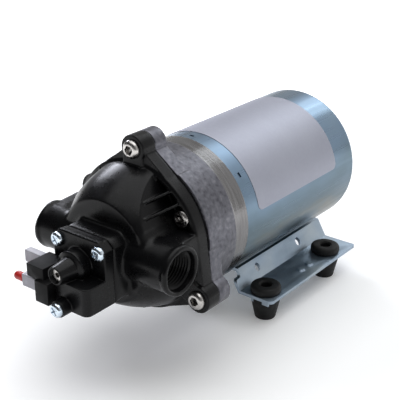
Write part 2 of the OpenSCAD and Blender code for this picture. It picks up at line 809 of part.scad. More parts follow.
module pump_head() {
    color([0.09, 0.09, 0.1])
    on_axis()
        difference() {
            union() {
                difference() {
                    union() {
                        linear_extrude(flange_t - rim_edge) {
                            eared_outline(flange_r, flange_r - 0.1);
                            around([pocket_deg[1], pocket_deg[2]], inner_ring_r) circle(r = pocket_pad_r);
                        }
                        translate([0, 0, flange_t - rim_edge])
                            cylinder(r1 = flange_r - 0.1, r2 = flange_r - 0.1 - rim_edge, h = rim_edge);
                        linear_extrude(ear_t) {
                            around(lobe_deg, ear_ring_r) circle(r = ear_r);
                            around(lobe_deg, 0)
                                translate([dome_base_r - 2, -flank_top[1]])
                                    square([ear_ring_r - dome_base_r + 2, 2 * flank_top[1]]);
                        }
                        rotate_extrude()
                            polygon(concat(
                                [[0, 0], [dome_base_r, 0]],
                                [for (i = [0:12]) flank_point(i / 12)],
                                [[0, dome_h]]));
                    }
                    for (i = [0:2])
                        rotate([0, 0, pocket_deg[i]]) {
                            block([pocket_flats[i], -pocket_half_w, flange_t + pocket_lip],
                                  [ear_ring_r, pocket_half_w, dome_h + over]);
                            intersection() {
                                block([pocket_flats[i], -flange_r, pocket_floor],
                                      [flange_r, flange_r, flange_t + over]);
                                rod(flange_r - rim_w, pocket_floor, flange_t + over);
                            }
                        }
                }
                for (i = [0:2])
                    rotate([0, 0, pocket_deg[i]]) {
                        for (k = rib_marks[i]) pocket_rib(k * rib_pitch, pocket_flats[i]);
                        translate([inner_ring_r, 0, 0]) rod(head_screw_head_r + 0.4, 0, inner_seat_h);
                    }
                for (a = [0, 180]) rotate([0, 0, a]) port_body();
                translate([0, 0, dome_h - 4]) linear_extrude(seat_h - dome_h + 4) seat_outline();
            }
            rod(recess_r, -over, valve_plate_t);
            rod(outlet_chamber_r, valve_plate_t - eps, outlet_top_h);
            rod(3, outlet_top_h - eps, seat_h + over);
            rod(switch_disc_r + loose_gap, seat_h - switch_disc_t, seat_h + over);
            tube(collar_r, inlet_chamber_r, valve_plate_t - eps, inlet_chamber_h);
            tube(seal_ring_r - seal_wire_r - loose_gap, seal_ring_r + seal_wire_r + loose_gap,
                 valve_plate_t - eps, valve_plate_t + 2 * seal_wire_r);
            for (a = [0, 180]) rotate([0, 0, a]) port_bore();
            translate([0, 0, port_h]) rotate([0, 90, 0]) {
                rod(poppet_seat_r, 0, duct_end_x + over);
                rod(duct_r, poppet_seat_x, duct_end_x + over);
                rod(duct_r, -duct_end_x - over, -collar_r - 2);
            }
            block([-inlet_chamber_r, -duct_r + 0.5, valve_plate_t + 2],
                  [-collar_r - 2, duct_r - 0.5, port_h]);
            around(lobe_deg, ear_ring_r) rod(head_screw_r + 0.2, -over, ear_t + over);
            around(pocket_deg, inner_ring_r) {
                rod(head_screw_r + 0.2, -over, inner_seat_h + over);
                rod(head_screw_head_r + 0.2, inner_seat_h, dome_h);
            }
            cover_screw_holes(cover_screw_r + seat_gap, seat_h - 7);
        }
}

// One gusset rib in a pocket, from the crease at the pocket's flat to the rim, off the pocket's middle
module pocket_rib(offset_y, flat_x) {
    foot_r = sqrt(pow(rib_foot_r, 2) - offset_y * offset_y);
    crease_h = min(dome_h, flank_h(sqrt(flat_x * flat_x + offset_y * offset_y)));
    translate([0, offset_y + rib_t / 2, 0])
        rotate([90, 0, 0])
            linear_extrude(rib_t)
                polygon([[flat_x - rib_root, pocket_floor - rib_root], [foot_r, pocket_floor - rib_root],
                         [foot_r, flange_t - 1.4], [flat_x, crease_h - 1],
                         [flat_x - rib_root, crease_h - 1]]);
}

// Screw holes of the cover, all from the given height to above the boss
module cover_screw_holes(r, low) {
    for (side = [-1, 1])
        translate([side * upper_screw_x, upper_screw_z, 0]) rod(r, low, boss_front_h + over);
    translate([boss_screw_x, boss_screw_z, 0]) rod(r, low, boss_front_h + over);
}

module ear_screws() {
    color("gainsboro")
    on_axis(ear_t)
        around(lobe_deg, ear_ring_r)
            screw(head_screw_r, ear_t + cast_ear_t - 0.5, head_screw_head_r, screw_head_h, 6);
}

module inner_head_screws() {
    color("gainsboro")
    on_axis(inner_seat_h)
        around(pocket_deg, inner_ring_r)
            screw(head_screw_r, inner_seat_h + head_screw_len, head_screw_head_r, screw_head_h, 4);
}

// Valves

module valve_plate() {
    color("ivory")
    on_axis()
        difference() {
            rod(valve_plate_r, 0, valve_plate_t);
            around(lobe_deg, piston_ring_r) rod(chamber_r, -over, chamber_depth);
            inlet_valve_places() {
                rod(0.9 + loose_gap, 0, valve_plate_t + over);
                around([45, 135, 225, 315], 1.9) rod(0.65, 0, valve_plate_t + over);
            }
            around([for (a = lobe_deg, d = [-9, 9]) a + d], 6.9) rod(0.8, 0, valve_plate_t + over);
            rod(1.4 + loose_gap, -over, valve_plate_t + over);
        }
}

module inlet_valve_places() {
    around(lobe_deg, inlet_valve_ring_r) children();
}

module inlet_valves() {
    color("saddlebrown")
    on_axis()
        inlet_valve_places() {
            rod(3.2, chamber_depth - 0.7, chamber_depth);
            rod(0.9, chamber_depth - eps, valve_plate_t + 0.8);
        }
}

module outlet_valve() {
    color("saddlebrown")
    on_axis() {
        rod(8.2, valve_plate_t, valve_plate_t + 0.9);
        rod(1.4, 1, valve_plate_t + eps);
    }
}

module collar_seal() {
    color("black")
    on_axis(valve_plate_t + seal_wire_r)
        rotate_extrude() translate([seal_ring_r, 0]) circle(r = seal_wire_r);
}

// Wobble drive

module drive_cam() {
    color("gray")
    difference() {
        union() {
            on_axis() rod(cam_hub_r, cam_rear_h, cam_rear_h + cam_hub_t);
            tilted() rod(journal_r, cam_rear_h + 2, wobble_bearing_front_h - 0.3);
        }
        on_axis() rod(shaft_r + seat_gap, cam_rear_h - over, 0);
        on_axis(cam_rear_h + cam_hub_t / 2) rotate([0, 90, 0]) rod(1.5 + seat_gap, 0, cam_hub_r + over);
    }
}

module cam_set_screw() {
    color("dimgray")
    on_axis(cam_rear_h + cam_hub_t / 2)
        rotate([0, 90, 0])
            difference() {
                rod(1.5, shaft_r + loose_gap, cam_hub_r - 0.6);
                translate([0, 0, cam_hub_r - 1.8]) cylinder(r = 0.8, h = 2, $fn = 6);
            }
}

module wobble_groove() {
    translate([0, 0, wobble_bearing_rear_h])
        ball_groove(wobble_track_r, wobble_ball_r + ball_gap, wobble_bearing_w);
}

module wobble_inner_ring() {
    color("silver")
    tilted()
        difference() {
            tube(journal_r + seat_gap, journal_r + wobble_ring_t,
                 wobble_bearing_rear_h, wobble_bearing_front_h - 0.3);
            wobble_groove();
        }
}

module wobble_outer_ring() {
    color("silver")
    tilted()
        difference() {
            tube(wobble_bearing_r - wobble_ring_t, wobble_bearing_r,
                 wobble_bearing_rear_h, wobble_bearing_front_h);
            wobble_groove();
        }
}

module wobble_balls() {
    color("whitesmoke")
    tilted()
        translate([0, 0, wobble_bearing_rear_h])
            ball_ring(wobble_track_r, wobble_ball_r, wobble_bearing_w, ball_count + 4);
}

module wobble_plate() {
    pad_front_h = -diaphragm_t - eps;
    color("whitesmoke")
    tilted()
        difference() {
            union() {
                tube(wobble_bearing_r + seat_gap, wobble_bearing_r + wobble_hub_t,
                     wobble_bearing_rear_h, wobble_front_h);
                rod(wobble_bearing_r + wobble_hub_t, wobble_bearing_front_h, wobble_front_h);
                around(lobe_deg, piston_ring_r)
                    rod(piston_pad_r, wobble_front_h - wobble_plate_t, pad_front_h);
            }
            around(lobe_deg, piston_ring_r)
                rod(piston_screw_r + seat_gap, wobble_front_h - wobble_plate_t - over, over);
        }
}

module pump_diaphragm() {
    color("black")
    difference() {
        union() {
            on_axis()
                difference() {
                    rod(valve_plate_r, -diaphragm_t, 0);
                    around(lobe_deg, piston_ring_r) rod(diaphragm_hole_r, -diaphragm_t - over, over);
                }
            tilted() around(lobe_deg, piston_ring_r) rod(diaphragm_pad_r, -diaphragm_t, 0);
        }
        tilted() around(lobe_deg, piston_ring_r) rod(piston_screw_r + loose_gap, -diaphragm_t - over, over);
    }
}

module pistons() {
    color("whitesmoke")
    tilted()
        around(lobe_deg, piston_ring_r)
            difference() {
                rod(piston_r, eps, piston_t);
                rod(piston_screw_r + loose_gap, -over, piston_t + over);
                rod(piston_screw_head_r + loose_gap, piston_t - 1.2, piston_t + over);
            }
}

module piston_screws() {
    seat = piston_t - 1.2;
    color("silver")
    tilted()
        around(lobe_deg, piston_ring_r)
            translate([0, 0, seat])
                screw(piston_screw_r, seat - wobble_front_h + wobble_plate_t, piston_screw_head_r, 1.1, 4);
}

// Outlet check valve; its own +Z points out of the outlet port
module in_outlet() {
    on_axis(port_h) rotate([0, 90, 0]) children();
}

module check_poppet() {
    color("linen")
    in_outlet() {
        rod(poppet_r, poppet_seat_x + eps, poppet_seat_x + poppet_t);
        rod(poppet_stem_r, poppet_seat_x + eps, cage_x + cage_t - 0.3);
    }
}

module check_cage() {
    color("linen")
    in_outlet() {
        tube(duct_r - 1, duct_r - seat_gap, cage_x, cage_x + cage_t);
        difference() {
            union() {
                rod(cage_hub_r, cage_x, cage_x + cage_t);
                for (a = [0, 120, 240])
                    rotate([0, 0, a]) block([0, -0.5, cage_x], [duct_r - 0.6, 0.5, cage_x + cage_t]);
            }
            rod(poppet_stem_r + run_gap, cage_x - over, cage_x + cage_t + over);
        }
    }
}

module check_spring() {
    color("silver")
    in_outlet()
        translate([0, 0, poppet_seat_x + poppet_t + eps])
            coil(check_spring_r, check_wire_r, check_spring_len - 2 * eps, check_turns);
}

// Pressure switch

module switch_diaphragm() {
    color("black")
    on_axis(seat_h - switch_disc_t) cylinder(r = switch_disc_r, h = switch_disc_t);
}

module switch_cover() {
    color([0.09, 0.09, 0.1])
    on_axis()
        difference() {
            union() {
                translate([0, 0, seat_h]) linear_extrude(cover_plate_t) seat_outline();
                translate([0, block_top, 0])
                    rotate([90, 0, 0])
                        linear_extrude(block_top - seat_bottom)
                            polygon(concat(
                                [[block_left, block_front_h], [block_left, cover_face_h - eps],
                                 [seat_half_w, cover_face_h - eps]],
                                arc(seat_half_w - block_edge_r, block_front_h - block_edge_r,
                                    block_edge_r, 0, 90)));
                translate([boss_screw_x, boss_screw_z, 0]) rod(boss_r, block_front_h - over, boss_front_h);
                rod(tower_foot_r, seat_h, tower_step_h - 0.8);
                translate([0, 0, tower_step_h - 0.8 - eps])
                    cylinder(r1 = tower_foot_r, r2 = tower_neck_r, h = 0.8 + eps);
                translate([0, 0, tower_step_h - eps])
                    cylinder(r1 = tower_neck_r, r2 = tower_tip_r, h = tower_tip_h - tower_step_h);
                top_strip();
            }
            rod(cavity_r, seat_h - over, cavity_front_h);
            plunger_arm(arm_w + 1.2, seat_h - over, cavity_front_h, arm_tip_r + 0.6);
            rod(bore_r, seat_h, bore_front_h);
            rod(adjuster_r + run_gap, seat_h, tower_tip_h + over);
            rod(adjuster_r + 0.6, adjuster_front_h + thread_pitch * cap_turns_out, tower_tip_h + over);
            translate([button_x, button_z, 0]) rod(button_r + 0.5, seat_h, cover_face_h + over);
            cover_screw_holes(cover_screw_r + 0.2, seat_h - over);
            translate([0, 0, cover_face_h])
                block([-seat_half_w - over, seat_bottom - over, 0], [block_left, block_top, tower_len]);
        }
}

// Low bar along the cover's top edge
module top_strip() {
    front_h = cover_face_h - strip_margin;
    block([-strip_half_w, seat_top - over, front_h - strip_w],
          [strip_half_w, seat_top + strip_rise, front_h]);
}

// The plunger's side arm, from the axis to the snap switch's button
module plunger_arm(width, low, high, tip_r) {
    reach = sqrt(button_x * button_x + button_z * button_z);
    rotate([0, 0, atan2(button_z, button_x)]) block([0, -width / 2, low], [reach, width / 2, high]);
    translate([button_x, button_z, 0]) rod(tip_r, low, high);
}

module switch_plunger() {
    color("ivory")
    on_axis() {
        rod(plunger_disc_r, plunger_rear_h, plunger_front_h);
        rod(spring_mid_r - spring_wire_r - 0.4, plunger_rear_h, plunger_front_h + 1.6);
        plunger_arm(arm_w, plunger_rear_h + 0.3, arm_front_h, arm_tip_r);
    }
}

module switch_spring() {
    color("silver")
    on_axis(plunger_front_h + eps)
        coil(spring_mid_r, spring_wire_r, cap_rear_h - plunger_front_h - 2 * eps, spring_turns);
}

module spring_cap() {
    color("goldenrod")
    on_axis() rod(cap_r, cap_rear_h, cap_front_h);
}

module adjusting_screw() {
    color("gainsboro")
    on_axis()
        difference() {
            rod(adjuster_r, cap_front_h + eps, adjuster_front_h);
            translate([0, 0, adjuster_front_h - 3]) cylinder(r = adjuster_socket_r, h = 3 + over, $fn = 6);
        }
}

module microswitch() {
    color([0.07, 0.07, 0.08])
    on_axis()
        difference() {
            union() {
                block([snap_left, snap_bottom, cover_face_h + loose_gap],
                      [snap_right, snap_split + 0.6, snap_front_h]);
                block([shelf_left, snap_split, cover_face_h + loose_gap],
                      [shelf_right, snap_top, shelf_front_h]);
            }
            translate([button_x, button_z, 0]) rod(button_r + run_gap, seat_h, cover_face_h + 4);
            terminal_places() block([-3 * tab_len, -tab_w / 2 - loose_gap, -tab_t / 2 - loose_gap],
                                    [tab_root, tab_w / 2 + loose_gap, tab_t / 2 + loose_gap]);
        }
}

// The two terminals point to -X, out of the snap switch's left faces
module terminal_places() {
    translate([snap_left, front_tab_z, front_tab_h]) children();
    translate([shelf_left, rear_tab_z, rear_tab_h]) children();
}

module switch_terminals() {
    color("gold")
    on_axis()
        terminal_places()
            block([-tab_len, -tab_w / 2, -tab_t / 2], [tab_root - loose_gap, tab_w / 2, tab_t / 2]);
}

module terminal_boots() {
    color([0.75, 0.74, 0.8])
    on_axis()
        terminal_places()
            difference() {
                block([-boot_len, -boot_w / 2, -boot_t / 2], [-loose_gap, boot_w / 2, boot_t / 2]);
                block([-tab_len - loose_gap, -tab_w / 2 - loose_gap, -tab_t / 2 - loose_gap],
                      [over, tab_w / 2 + loose_gap, tab_t / 2 + loose_gap]);
            }
}

module lead_stub() {
    color("firebrick")
    on_axis()
        translate([snap_left - boot_len - eps, front_tab_z, front_tab_h])
            rotate([0, -90, 0]) {
                rod(stub_r, 0, stub_len - stub_r);
                translate([0, 0, stub_len - stub_r]) sphere(r = stub_r);
            }
}

module switch_button() {
    color("ivory")
    on_axis() translate([button_x, button_z, 0]) rod(button_r, button_rear_h, cover_face_h + 3);
}

module cover_screws() {
    color("lightsteelblue")
    on_axis()
        cover_screw_places()
            screw(cover_screw_r, cover_plate_t + 6, cover_screw_head_r, 2.2, 4);
}

// Mounting base and feet

// Profile of one half of the bent sheet, from the middle outward
module base_profile() {
    polygon([[-eps, saddle_z], [saddle_x, saddle_z], [bend_x, flange_z], [base_w / 2, flange_z],
             [base_w / 2, flange_z - base_t], [bend_x - bend_shift, flange_z - base_t],
             [saddle_x - bend_shift, saddle_z - base_t], [-eps, saddle_z - base_t]]);
}

module foot_places() {
    for (x = [-1, 1], y = [-1, 1]) translate([x * foot_pitch_x / 2, y * foot_pitch_y / 2, 0]) children();
}

module base_screw_places() {
    for (y = base_screw_y) translate([0, y, axis_h - can_r]) children();
}

// What is cut off the base's front above its bulge, seen from the side and drawn right across
module front_notch() {
    bulge_y = base_front_y + notch_round_r;
    back_y = base_front_y + notch_depth;
    translate([-bend_x, 0, 0])
        rotate([90, 0, 90])
            linear_extrude(2 * bend_x)
                polygon(concat(
                    [[base_front_y - over, saddle_z + over], [base_front_y - over, notch_z - notch_round_r]],
                    arc(bulge_y, notch_z - notch_round_r, notch_round_r, 180, 90),
                    arc(back_y - notch_fillet_r, notch_z + notch_fillet_r, notch_fillet_r, -90, 0),
                    [[back_y, saddle_z + over]]));
}

module mounting_base() {
    color("lightsteelblue")
    difference() {
        for (side = [0, 1])
            mirror([side, 0, 0]) {
                translate([0, base_rear_y, 0]) rotate([90, 0, 0])
                    linear_extrude(base_rear_y - base_front_y) base_profile();
                for (y = pip_y)
                    translate([pip_x, y, flange_z - eps]) cylinder(r1 = pip_r, r2 = pip_r * 0.7, h = pip_h);
                for (i = [0:len(lip_x) - 1])
                    block([lip_x[i] - lip_w[i] / 2, base_front_y, flange_z - base_t - lip_drop],
                          [lip_x[i] + lip_w[i] / 2, base_front_y + lip_t, flange_z - eps]);
            }
        foot_places() rod(foot_neck_r + loose_gap, 0, saddle_z);
        for (side = [0, 1])
            mirror([side, 0, 0]) {
                for (y = wall_hole_y)
                    translate([(bend_x + saddle_x) / 2, y, (flange_z + saddle_z) / 2 + wall_hole_up])
                        rotate([0, 90 - wall_deg, 0]) rod(wall_hole_r, -3 * base_t, 3 * base_t);
                base_corner(front_corner_r, base_front_y, -1);
                base_corner(rear_corner_r, base_rear_y, 1);
            }
        front_notch();
        base_screw_places() rod(base_screw_r + loose_gap, -2 * base_t, over);
    }
}

// Waste of one rounded corner of the right-hand flange; way is 1 at the rear and -1 at the front
module base_corner(r, edge_y, way) {
    translate([base_w / 2 - r, edge_y - way * r, flange_z - base_t - over])
        mirror([0, way < 0 ? 1 : 0, 0]) linear_extrude(base_t + 2 * over) corner_waste(r);
}

module rubber_feet() {
    color([0.06, 0.06, 0.06])
    foot_places()
        difference() {
            union() {
                cylinder(r1 = foot_floor_r, r2 = foot_body_r, h = flange_z - base_t - foot_straight);
                rod(foot_body_r, flange_z - base_t - foot_straight - eps, flange_z - base_t);
                rod(foot_neck_r, flange_z - base_t - eps, flange_z + eps);
                translate([0, 0, flange_z])
                    rotate_extrude()
                        polygon(concat([[0, 0], [foot_top_r - 0.6, 0], [foot_top_r, 0.6]],
                                       arc(foot_top_r - 1.6, foot_top_t - 1.6, 1.6, 0, 90),
                                       [[0, foot_top_t]]));
            }
            rod(foot_hole_r, -over, foot_z_top + over);
            translate([0, 0, foot_z_top - 0.8])
                cylinder(r1 = foot_hole_r, r2 = foot_hole_r + 0.8, h = 0.8 + eps);
        }
}

module base_screws() {
    shank_len = base_t + loose_gap + can_wall - 0.2;
    color("silver")
    base_screw_places()
        translate([0, 0, -loose_gap - base_t])
            rotate([180, 0, 0]) screw(base_screw_r, shank_len, base_screw_head_r, base_screw_head_h, 4);
}

motor_can();
rating_label();
field_magnets();
brush_card();
brush_holders();
brushes();
brush_springs();
bearing_outer_rings();
bearing_balls();
front_housing();
pump_head();
ear_screws();
inner_head_screws();
valve_plate();
inlet_valves();
outlet_valve();
collar_seal();
pump_diaphragm();
check_cage();
check_spring();
switch_diaphragm();
switch_cover();
cover_screws();
switch_spring();
microswitch();
switch_terminals();
terminal_boots();
lead_stub();
mounting_base();
rubber_feet();
base_screws();
motor_shaft();
armature_core();
armature_windings();
commutator();
bearing_inner_rings();
drive_cam();
cam_set_screw();
wobble_inner_ring();
wobble_plate();
wobble_outer_ring();
wobble_balls();
pistons();
piston_screws();
check_poppet();
switch_plunger();
switch_button();
spring_cap();
adjusting_screw();
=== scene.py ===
import json
import math

import bmesh
import bpy
from mathutils import Matrix, Vector


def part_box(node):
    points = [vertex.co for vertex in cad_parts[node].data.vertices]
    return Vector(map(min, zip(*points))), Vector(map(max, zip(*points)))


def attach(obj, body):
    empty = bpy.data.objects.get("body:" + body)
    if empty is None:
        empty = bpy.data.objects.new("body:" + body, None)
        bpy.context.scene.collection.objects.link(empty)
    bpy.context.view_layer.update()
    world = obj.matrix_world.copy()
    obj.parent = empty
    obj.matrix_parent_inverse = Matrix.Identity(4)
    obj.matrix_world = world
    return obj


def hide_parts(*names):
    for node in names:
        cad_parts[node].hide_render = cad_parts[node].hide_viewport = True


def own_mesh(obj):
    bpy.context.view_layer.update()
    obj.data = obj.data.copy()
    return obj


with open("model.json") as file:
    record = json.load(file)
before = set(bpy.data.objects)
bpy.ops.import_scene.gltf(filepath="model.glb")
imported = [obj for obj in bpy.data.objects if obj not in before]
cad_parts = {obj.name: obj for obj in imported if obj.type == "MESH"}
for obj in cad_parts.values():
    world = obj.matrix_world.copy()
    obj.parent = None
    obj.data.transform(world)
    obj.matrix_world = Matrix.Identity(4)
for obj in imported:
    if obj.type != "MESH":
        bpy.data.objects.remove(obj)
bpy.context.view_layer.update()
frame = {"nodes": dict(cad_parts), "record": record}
mm = 0.001
decimals = 6  # lengths read from a node's box are rounded to this, in metres
portPlace = next(row["pos_m"] for row in frame["record"]["mounts"] if row["name"] == "outlet_port")
portY = portPlace[1]
axisHeight = portPlace[2]  # pump axis above the floor
jointY = round(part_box("pump_head")[1].y, decimals)  # plane between the cast housing and the head
canRadius = round(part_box("motor_can")[1].x, decimals)
quarterTurn = math.pi / 2
lyingDown = (quarterTurn, 0, 0)  # lays an upright cylinder along the pump's axis
facing = 0.9  # least share of a direction in the normal of a face that faces that way
mergeGap = 0.002 * mm  # points of a copied node that are closer become one
smoothFactor = 0.5
flatAngle = 1.0  # degrees: faces that meet flatter become one
bevelAngle = 32  # sharper edges are bevelled
edgeAngle = 40  # sharper edges stay sharp in the shading
mouldedAngle = 60  # the same, on remeshed mouldings
print("frame loaded:", len(frame["nodes"]), "nodes")


# Selecting and starting pieces
def deselectAll():
    bpy.ops.object.select_all(action="DESELECT")


def pick(piece):
    deselectAll()
    piece.select_set(True)
    bpy.context.view_layer.objects.active = piece


def leaveEdit():
    bpy.ops.object.mode_set(mode="OBJECT")


def editAll(piece):
    if bpy.context.mode != "OBJECT":
        leaveEdit()
    pick(piece)
    bpy.ops.object.mode_set(mode="EDIT")
    bpy.ops.mesh.select_all(action="SELECT")


def choose(piece, kind, test):
    editAll(piece)
    bpy.ops.mesh.select_mode(type=kind)
    bpy.ops.mesh.select_all(action="DESELECT")
    shape = bmesh.from_edit_mesh(piece.data)
    for part in shape.faces if kind == "FACE" else shape.edges:
        part.select_set(test(part))
    bmesh.update_edit_mesh(piece.data)


def addBlock(place=(0, 0, 0), turn=(0, 0, 0)):
    deselectAll()
    bpy.ops.mesh.primitive_cube_add(size=1, location=place, rotation=turn)
    return bpy.context.object


def addCylinder(radius, depth, sides, place, turn=(0, 0, 0)):
    deselectAll()
    bpy.ops.mesh.primitive_cylinder_add(vertices=sides, radius=radius, depth=depth, location=place,
                                        rotation=turn)
    return bpy.context.object


def newPiece(name):
    piece = bpy.context.object
    piece.name = name
    piece.data.name = name
    pick(piece)
    bpy.ops.object.transform_apply(location=True, rotation=True, scale=True)
    return piece


def copyOf(node, name):
    piece = bpy.data.objects.new(name, frame["nodes"][node].data.copy())
    piece.data.name = name
    piece.data.materials.clear()
    bpy.context.scene.collection.objects.link(piece)
    editAll(piece)
    bpy.ops.mesh.customdata_custom_splitnormals_clear()
    bpy.ops.mesh.remove_doubles(threshold=mergeGap)
    leaveEdit()
    return piece


def onAxis(forward, turn=0, out=0):
    place = Matrix.Translation((0, jointY - forward * mm, axisHeight))
    upright = place @ Matrix.Rotation(quarterTurn, 4, "X")
    turned = upright @ Matrix.Rotation(math.radians(turn), 4, "Z")
    return turned @ Matrix.Translation((out * mm, 0, 0))


# Shaping and finishing pieces
def applyModifier(piece, kind, **settings):
    pick(piece)
    step = piece.modifiers.new(kind.title(), kind)
    for key, value in settings.items():
        setattr(step, key, value)
    bpy.ops.object.modifier_apply(modifier=step.name)


def cutAway(piece, cutter):
    applyModifier(piece, "BOOLEAN", operation="DIFFERENCE", object=cutter, solver="EXACT")
    bpy.data.objects.remove(cutter)


def joined(first, others):
    pick(first)
    for other in others:
        other.select_set(True)
    bpy.ops.object.join()
    return first


def smoothBy(piece, degrees):
    pick(piece)
    bpy.ops.object.shade_smooth_by_angle(angle=math.radians(degrees))


def remeshed(piece, voxel, rounds):
    applyModifier(piece, "REMESH", mode="VOXEL", voxel_size=voxel * mm)
    applyModifier(piece, "SMOOTH", factor=smoothFactor, iterations=rounds)


def thinned(piece, keep):
    applyModifier(piece, "DECIMATE", ratio=keep)
    smoothBy(piece, mouldedAngle)


def handOver(piece, slot, *nodes):
    piece.data.materials.clear()
    piece.data.materials.append(finishes[slot])
    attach(piece, "pump")
    if nodes:
        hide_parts(*nodes)
    print("made", piece.name, len(piece.data.polygons), "faces")


def makeMoulded(node, name, slot, look):
    piece = copyOf(node, name)
    remeshed(piece, look["voxel"], look["rounds"])
    thinned(piece, look["keep"])
    handOver(piece, slot, node)


def makeEased(node, name, slot, look):
    piece = copyOf(node, name)
    editAll(piece)
    bpy.ops.mesh.dissolve_limited(angle_limit=math.radians(flatAngle))
    leaveEdit()
    applyModifier(piece, "BEVEL", width=look["width"] * mm, segments=look["segments"], limit_method="ANGLE",
                  angle_limit=math.radians(bevelAngle), use_clamp_overlap=True)
    smoothBy(piece, edgeAngle)
    handOver(piece, slot, node)


# Shader nodes
evenly = (1, 1, 1)  # a pattern that isn't stretched
noiseSpan = (0.3, 0.7)  # nearly all of a noise lies between these
toneDetail = 4
wearDetail = 3
grainDetail = 2
mixSockets = {"FLOAT": (2, 3, 0), "RGBA": (6, 7, 2)}  # places of A, B and the result on a Mix node


def feed(tree, source, socket):
    if isinstance(source, bpy.types.NodeSocket):
        tree.links.new(source, socket)
    else:
        socket.default_value = source


def mapped(tree, source, fromSpan, toSpan=(0, 1)):
    span = tree.nodes.new("ShaderNodeMapRange")
    for socket, value in zip(("From Min", "From Max", "To Min", "To Max"), (*fromSpan, *toSpan)):
        span.inputs[socket].default_value = value
    tree.links.new(source, span.inputs["Value"])
    return span.outputs["Result"]


def mixed(tree, share, first, second, kind="FLOAT"):
    both = tree.nodes.new("ShaderNodeMix")
    both.data_type = kind
    firstAt, secondAt, resultAt = mixSockets[kind]
    feed(tree, share, both.inputs[0])
    feed(tree, first, both.inputs[firstAt])
    feed(tree, second, both.inputs[secondAt])
    return both.outputs[resultAt]


def reckoned(tree, operation, first, second):
    step = tree.nodes.new("ShaderNodeMath")
    step.operation = operation
    feed(tree, first, step.inputs[0])
    feed(tree, second, step.inputs[1])
    return step.outputs[0]


def noiseOn(tree, scale, stretch=evenly, detail=wearDetail):
    place = tree.nodes.new("ShaderNodeTexCoord")
    lay = tree.nodes.new("ShaderNodeMapping")
    lay.inputs["Scale"].default_value = stretch
    tree.links.new(place.outputs["Object"], lay.inputs["Vector"])
    noise = tree.nodes.new("ShaderNodeTexNoise")
    noise.inputs["Scale"].default_value = scale
    noise.inputs["Detail"].default_value = detail
    tree.links.new(lay.outputs["Vector"], noise.inputs["Vector"])
    return noise.outputs["Fac"]


def tonesOf(tree, source, stops):
    ramp = tree.nodes.new("ShaderNodeValToRGB")
    marks = ramp.color_ramp.elements
    for mark, (at, colour) in zip(marks, (stops[0], stops[-1])):
        mark.position = at
        mark.color = (*colour, 1)
    for at, colour in stops[1:-1]:
        marks.new(at).color = (*colour, 1)
    tree.links.new(source, ramp.inputs["Fac"])
    return ramp.outputs["Color"]


def objectParts(tree):
    place = tree.nodes.new("ShaderNodeTexCoord")
    parts = tree.nodes.new("ShaderNodeSeparateXYZ")
    tree.links.new(place.outputs["Object"], parts.inputs["Vector"])
    return parts.outputs


# Finishes: tone, roughness and bump come from noise on Object coordinates, in metres; a tone can also darken
# with height as painted shade
# painted shade: mixes the tone noise with height, so the lower part renders darker
def paintedHeightShade(tree, source, rise):
    height = mapped(tree, objectParts(tree)["Z"], (rise["low"], rise["high"]), noiseSpan)
    return mixed(tree, rise["share"], source, height)


def turnedPart(tree, band, colour, rough):
    edge = mapped(tree, objectParts(tree)["Y"], (band["from"] - band["blend"], band["from"] + band["blend"]))
    rings = noiseOn(tree, band["scale"], band["stretch"], grainDetail)
    ringTones = tonesOf(tree, rings, band["tones"])
    ringRough = mapped(tree, rings, noiseSpan, band["rough"])
    return mixed(tree, edge, colour, ringTones, "RGBA"), mixed(tree, edge, rough, ringRough)


def makeFinish(name, look):
    finish = bpy.data.materials.new(name)
    finish.use_nodes = True
    tree = finish.node_tree
    shader = tree.nodes["Principled BSDF"]
    tone = noiseOn(tree, look["toneScale"], look.get("toneStretch", evenly), toneDetail)
    # painted shade by height, where a look asks for it
    if "paintedShadeByHeight" in look:
        tone = paintedHeightShade(tree, tone, look["paintedShadeByHeight"])
    colour = tonesOf(tree, tone, look["tones"])
    wear = noiseOn(tree, look["roughScale"], look.get("roughStretch", evenly), wearDetail)
    rough = mapped(tree, wear, noiseSpan, look["rough"])
    if "turned" in look:
        colour, rough = turnedPart(tree, look["turned"], colour, rough)
    tree.links.new(colour, shader.inputs["Base Color"])
    tree.links.new(rough, shader.inputs["Roughness"])
    bump = tree.nodes.new("ShaderNodeBump")
    bump.inputs["Strength"].default_value = look["bump"]
    bump.inputs["Distance"].default_value = look["bumpDepth"] * mm
    grain = noiseOn(tree, look["bumpScale"], look.get("bumpStretch", evenly), grainDetail)
    tree.links.new(grain, bump.inputs["Height"])
    tree.links.new(bump.outputs["Normal"], shader.inputs["Normal"])
    for socket, value in look.get("sockets", {}).items():
        shader.inputs[socket].default_value = value
    return finish


